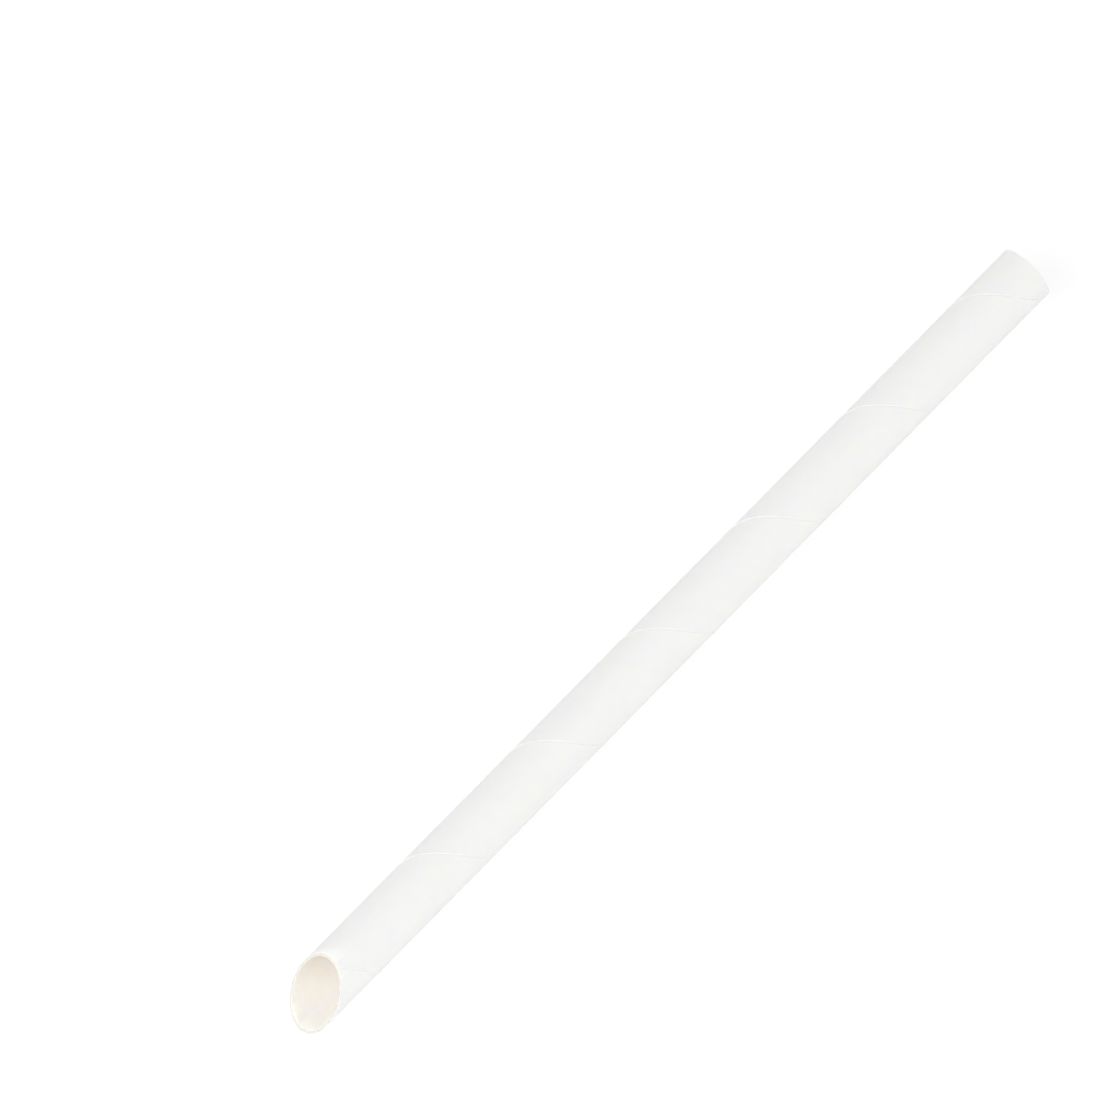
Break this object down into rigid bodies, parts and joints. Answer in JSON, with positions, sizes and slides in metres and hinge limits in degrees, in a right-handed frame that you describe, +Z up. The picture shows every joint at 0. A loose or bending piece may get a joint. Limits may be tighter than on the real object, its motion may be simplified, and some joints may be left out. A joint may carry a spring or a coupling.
{
  "type": "drinking straw",
  "caption": "Wide white paper drinking straw, spiral wound, with a slanted point at one end and a square cut at the other.",
  "frame": {"origin": "on the surface that the straw lies on, under the middle of its length", "axes": "+X along the tube's axis from the slanted end to the square end, +Z up"},
  "size_m": [0.21, 0.012, 0.012],
  "materials": {
    "paper": "matte"
  },
  "bodies": {
    "root": {"straw": "paper"}
  },
  "joints": []
}
